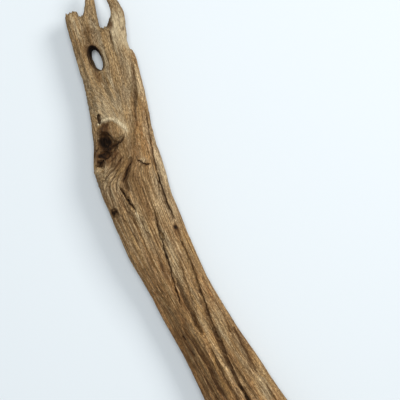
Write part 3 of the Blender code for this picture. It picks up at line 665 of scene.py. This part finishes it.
def carve(mesh, sizes):
    """Carve the fibres, cracks, knot and snapped ends into the fine copy.

    Leaves three attributes for the material: grain, the straightened place in
    millimetres; marks, the share of crack, of rot with painted shade and of ochre
    wood, and the height of the grain, whose valleys are painted with shade; and
    zones, the share of pale wood with painted light, of dirt with painted shade,
    and of brown and slab wood.
    """
    count = len(mesh.vertices)
    flat = np.empty(count * 3)
    mesh.vertices.foreach_get("co", flat)
    points = flat.reshape(-1, 3) / MM + np.array([*CENTRE, 0.0])
    mesh.vertex_normals.foreach_get("vector", flat)
    normals = flat.reshape(-1, 3).copy()
    # These are views of the points, so that they follow them when they move.
    place, (x, y, z) = points[:, :2], points.T
    grain = grain_space(points)
    wander = two_noises(points, WANDER, (3.1, 9.7))
    rough, shreds = noise_at(points, LUMPS, 4.4), noise_at(grain, SHREDS, 18.4)
    shifted = points + np.column_stack([1.1 * wander, np.zeros(count)])
    (hollow, rot), hole = in_hollow(shifted, rough + shreds), in_hole(points)
    face = eased(-0.15, 0.3, normals[:, 2]) * (1 - hole)
    slab = eased(*SLAB_START, x) * (1 - eased(*SOFT_EDGE, past_groove(x, y)))
    calm = (1 - hollow) * (1 - 0.7 * hole)

    torn = 0.5 * wander + 0.45 * two_noises(points, TORN_EDGE, (27.1, 33.7))
    crack, depth = cut_cracks(place + torn, face)
    crest, raised = raise_ridges(place + 0.5 * wander, grain, face)
    fine, broad = relief(points, grain, face, slab, sizes)
    depth += calm * (fine + broad) - raised
    depth += hollow * (0.8 * rough + 0.9 * shreds)
    depth += knot_rings(points, rough) * (1 - hollow)
    end, snapped = snapped_fibres(points, normals)
    end *= (1 - hollow) * (1 - hole)
    points -= normals * (depth * (1 - 0.6 * end))[:, None]
    points[:, 0] += sizes.end_depth / MM * end * snapped * np.sign(normals[:, 0])
    # The flat spots stay flat on the floor.
    points[:, 2] = np.where(z < FLAT_SPOT, 0.0, np.maximum(z, 0.0))

    knob, dark, shaded, collar = knot_tones(place, rough, wander)
    brown, flank = brown_wood(place, wander, face, slab)
    # Dirt and painted shade: the zones, the knot's shaded side and the left flank.
    dirt_and_shade = np.maximum.reduce([zone(place, DIRT_AND_SHADE_ZONES) * face, dark, 0.5 * flank])
    # Bleached wood, and painted light on the lit right edge and the curled scar's ridge.
    pale_and_lit = np.maximum(zone(place, PALE_AND_LIT_ZONES), collar) * face * (1 - knob)
    # The hole's wall and the knot's shaded side get painted shade, laid with the rot colour.
    from_hole = (place - HOLE_MIDDLE) @ HOLE_TO_SHADE + rough
    wall = hole * (0.3 + 0.7 * eased(-5.0, 3.0, from_hole))
    rot = np.maximum.reduce([rot, wall, 0.3 * knob * shaded])
    # The height of the grain; the material paints its valleys darker with it as painted shade.
    height = 0.5 - calm * (0.75 * fine + 0.2 * broad) + 0.2 * crest
    marks = np.stack([crack, rot, zone(place, OCHRE_ZONES) * face, height], 1)
    zones = np.stack([pale_and_lit, dirt_and_shade, np.maximum(brown, 0.5 * knob), slab], 1)

    points -= np.array([*CENTRE, 0.0])
    mesh.vertices.foreach_set("co", (points * MM).ravel())
    layer = mesh.attributes.new("grain", "FLOAT_VECTOR", "POINT")
    layer.data.foreach_set("vector", grain.ravel())
    for name, values in (("marks", marks), ("zones", zones)):
        layer = mesh.attributes.new(name, "FLOAT_COLOR", "POINT")
        layer.data.foreach_set("color", np.clip(values, 0, 1).ravel())
    mesh.update()


def add(tree, kind, settings, inputs):
    """Add a node with its settings. Each input is linked to a socket or given a value."""
    node = tree.nodes.new(kind)
    for key, value in settings.items():
        setattr(node, key, value)
    for key, value in inputs.items():
        if isinstance(value, bpy.types.NodeSocket):
            tree.links.new(value, node.inputs[key])
        else:
            node.inputs[key].default_value = value
    return node


def weathered_driftwood(colours):
    """Bare wood that sun and water have bleached and worn."""
    # The soft part of each growth line has gone and the hard part stands proud, so
    # the eye sees a dry, matt surface of fine dark and light lines: silvered or pale
    # where it is most bleached, brown where it isn't, and black where it has rotted.
    # Painted shade darkens its valleys, cracks, hollows, hole and shaded sides, and
    # painted light brightens some lit edges.
    material = bpy.data.materials.new("weathered driftwood")
    material.use_nodes = True
    tree = material.node_tree
    shader = tree.nodes["Principled BSDF"]
    grain = add(tree, "ShaderNodeAttribute", {"attribute_name": "grain"}, {}).outputs["Vector"]

    def noise_along(name):
        """One of the patterns, straight along the grain."""
        long, wide, octaves, seed = PATTERNS[name]
        place = add(tree, "ShaderNodeMapping", {},
                    {"Vector": grain, "Scale": (1 / long, 1 / wide, 1 / wide),
                     "Location": (seed, seed, seed)}).outputs["Vector"]
        return add(tree, "ShaderNodeTexNoise", {},
                   {"Vector": place, "Scale": 1.0, "Detail": octaves,
                    "Roughness": PATTERN_ROUGHNESS}).outputs["Fac"]

    def share_of(value, start, full, least, most, zones):
        """Least before the start, most where it is full, times the zones' shares."""
        share = add(tree, "ShaderNodeMapRange", {"clamp": True},
                    {"Value": value, "From Min": start, "From Max": full,
                     "To Min": least, "To Max": most}).outputs["Result"]
        for other in zones:
            share = add(tree, "ShaderNodeMath", {"operation": "MULTIPLY"},
                        {0: share, 1: other}).outputs[0]
        return share

    shares = {}
    for layer, names in (("marks", ("crack", "rot", "ochre", "height")),
                         ("zones", ("pale_and_lit", "dirt_and_shade", "brown", "slab"))):
        source = add(tree, "ShaderNodeAttribute", {"attribute_name": layer}, {})
        split = add(tree, "ShaderNodeSeparateColor", {}, {"Color": source.outputs["Color"]})
        shares.update(zip(names, [*split.outputs, source.outputs["Alpha"]]))
    shares["bleached"] = share_of(shares["brown"], 0.8, 0.0, 0.0, 1.0, [])
    shares["crest"] = share_of(shares["height"], 0.5, 0.9, 0.0, 1.0, [])
    # Where the noise passes its middle value, it draws long thin lines.
    shares["line middles"] = add(tree, "ShaderNodeMath", {"operation": "PINGPONG"},
                                 {0: noise_along("growth lines"), 1: 0.5}).outputs[0]
    shares["rotted"] = add(tree, "ShaderNodeMath", {"operation": "MAXIMUM"},
                           {0: shares["rot"], 1: shares["crack"]}).outputs[0]
    # The near-black of rot and painted shade is patchy and never quite covers the wood.
    shares["uneven"] = share_of(noise_along("rot and shade patches"), 0.3, 0.486, 0.35, 0.97, [])
    # The palest wood is worn smooth, and on the lit edges it is painted light: its
    # lines and grit are weaker, and on the slab its lines are weaker still.
    palest = add(tree, "ShaderNodeMath", {"operation": "MAXIMUM"},
                 {0: share_of(shares["pale_and_lit"], 0.0, 1.0, 0.0, 1.0, [shares["slab"]]),
                  1: share_of(shares["pale_and_lit"], 0.55, 1.0, 0.0, 0.6, [])}).outputs[0]
    shares["marked"] = share_of(palest, 0.0, 1.0, 1.0, 0.25, [])
    shares["lined"] = share_of(shares["slab"], 0.0, 1.0, 1.0, 0.65, [shares["marked"]])

    wood = (*colours.tan, 1.0)
    for shade, source, start, full, most, kept_to in COATS:
        value = noise_along(source) if source in PATTERNS else shares[source]
        share = share_of(value, start, full, 0.0, most, [shares[name] for name in kept_to])
        # A full share of "lighter" doubles what lies under it.
        if shade == "lighter":
            blend, paint = "MULTIPLY", (2.0, 2.0, 2.0, 1.0)
        else:
            blend, paint = "MIX", (*getattr(colours, shade), 1.0)
        wood = add(tree, "ShaderNodeMix", {"data_type": "RGBA", "blend_type": blend},
                   {0: share, 6: wood, 7: paint}).outputs[2]
    tree.links.new(wood, shader.inputs["Base Color"])
    roughness = share_of(noise_along("gloss"), 0.0, 1.0, *WOOD_ROUGHNESS, [])
    tree.links.new(roughness, shader.inputs["Roughness"])
    shader.inputs["IOR"].default_value = WOOD_IOR
    shader.inputs["Specular IOR Level"].default_value = WOOD_HIGHLIGHT
    bump = add(tree, "ShaderNodeBump", {}, {"Height": noise_along("fibre bumps"),
                                            "Strength": BUMP_STRENGTH, "Distance": BUMP_HEIGHT})
    tree.links.new(bump.outputs["Normal"], shader.inputs["Normal"])
    return material


def matt_paper(shade):
    """Sheet of uncoated paper."""
    # It gives an even, pale ground with no gloss, on which the shadow stays soft.
    material = bpy.data.materials.new("matt paper")
    material.use_nodes = True
    shader = material.node_tree.nodes["Principled BSDF"]
    shader.inputs["Base Color"].default_value = (*shade, 1.0)
    shader.inputs["Roughness"].default_value = FLOOR_ROUGHNESS
    return material


class DRIFTWOOD_OT_wood(bpy.types.Operator):
    """Make the carved piece of wood that stands for the frame's solid"""
    bl_idname = "driftwood.wood"
    bl_label = "Wood"

    def execute(self, context):
        sizes = context.scene.driftwood_sizes
        wood = fine_copy("weathered_branch", sizes.grid * (1.0))
        carve(wood.data, sizes)
        faces = sum(len(face.vertices) - 2 for face in wood.data.polygons)
        thin = wood.modifiers.new("thin out", "DECIMATE")
        thin.ratio = min(1.0, sizes.triangles / faces)
        apply_modifiers(wood)
        wood.data.materials.clear()
        wood.data.materials.append(weathered_driftwood(context.scene.driftwood_colours))
        wood.data.shade_smooth()
        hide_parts(NODE)
        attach(wood, "root")
        return {"FINISHED"}


def area_light(name, offset, turn, size, power, shade):
    """Soft square light, offset to the view's right, its top and up, and aimed at its middle."""
    middle = Vector(VIEW_MIDDLE)
    to_right = Vector((math.cos(turn), math.sin(turn), 0.0))
    to_top = Vector((-math.sin(turn), math.cos(turn), 0.0))
    away = offset[0] * to_right + offset[1] * to_top + Vector((0.0, 0.0, offset[2]))
    light = bpy.data.lights.new(name, "AREA")
    light.shape = "SQUARE"
    light.size = size
    light.energy = power
    light.color = shade
    item = bpy.data.objects.new(name, light)
    item.location = middle + away
    item.rotation_euler = away.to_track_quat("Z", "Y").to_euler()
    bpy.context.scene.collection.objects.link(item)


class DRIFTWOOD_OT_stage(bpy.types.Operator):
    """Lay the pale floor and place the lights and the camera"""
    bl_idname = "driftwood.stage"
    bl_label = "Stage"

    def execute(self, context):
        scene = context.scene
        stage = scene.driftwood_stage
        bm = bmesh.new()
        bmesh.ops.create_grid(bm, x_segments=1, y_segments=1, size=FLOOR_REACH)
        mesh = bpy.data.meshes.new("floor")
        bm.to_mesh(mesh)
        bm.free()
        floor = bpy.data.objects.new("floor", mesh)
        scene.collection.objects.link(floor)
        mesh.materials.append(matt_paper(tuple(stage.floor)))

        lens = bpy.data.cameras.new("camera")
        camera = bpy.data.objects.new("camera", lens)
        scene.collection.objects.link(camera)
        camera.location = Vector(VIEW_MIDDLE) + Vector((0.0, 0.0, stage.distance))
        camera.rotation_euler = (0.0, 0.0, stage.turn)
        lens.angle = stage.field
        scene.camera = camera

        area_light("key_light", KEY_OFFSET, stage.turn, KEY_SIZE, stage.key, KEY_SHADE)
        area_light("top_light", TOP_OFFSET, stage.turn, TOP_SIZE, stage.fill, TOP_SHADE)
        world = bpy.data.worlds.new("studio")
        world.use_nodes = True
        back = world.node_tree.nodes["Background"]
        back.inputs["Color"].default_value = ROOM_SHADE
        back.inputs["Strength"].default_value = ROOM_STRENGTH
        scene.world = world
        scene.view_settings.view_transform = "Standard"
        return {"FINISHED"}


class DRIFTWOOD_PT_panel(bpy.types.Panel):
    """Buttons and settings of the driftwood"""
    bl_label = "Driftwood"
    bl_idname = "DRIFTWOOD_PT_panel"
    bl_space_type = "VIEW_3D"
    bl_region_type = "UI"
    bl_category = "Driftwood"

    def draw(self, context):
        for settings, button in ((context.scene.driftwood_sizes, None),
                                 (context.scene.driftwood_colours, DRIFTWOOD_OT_wood),
                                 (context.scene.driftwood_stage, DRIFTWOOD_OT_stage)):
            box = self.layout.box()
            for key in settings.__annotations__:
                box.prop(settings, key)
            if button:
                box.operator(button.bl_idname)


CLASSES = (WoodSizes, WoodColours, StageSettings, DRIFTWOOD_OT_wood, DRIFTWOOD_OT_stage,
           DRIFTWOOD_PT_panel)


def register():
    """Add the classes, and their settings to the scene."""
    for item in CLASSES:
        bpy.utils.register_class(item)
    bpy.types.Scene.driftwood_sizes = PointerProperty(type=WoodSizes)
    bpy.types.Scene.driftwood_colours = PointerProperty(type=WoodColours)
    bpy.types.Scene.driftwood_stage = PointerProperty(type=StageSettings)


def unregister():
    """Take the settings and the classes away again."""
    del bpy.types.Scene.driftwood_stage
    del bpy.types.Scene.driftwood_colours
    del bpy.types.Scene.driftwood_sizes
    for item in reversed(CLASSES):
        bpy.utils.unregister_class(item)


def main():
    """Build the scene."""
    register()
    bpy.ops.driftwood.stage()
    bpy.ops.driftwood.wood()


if __name__ == "__main__":
    main()
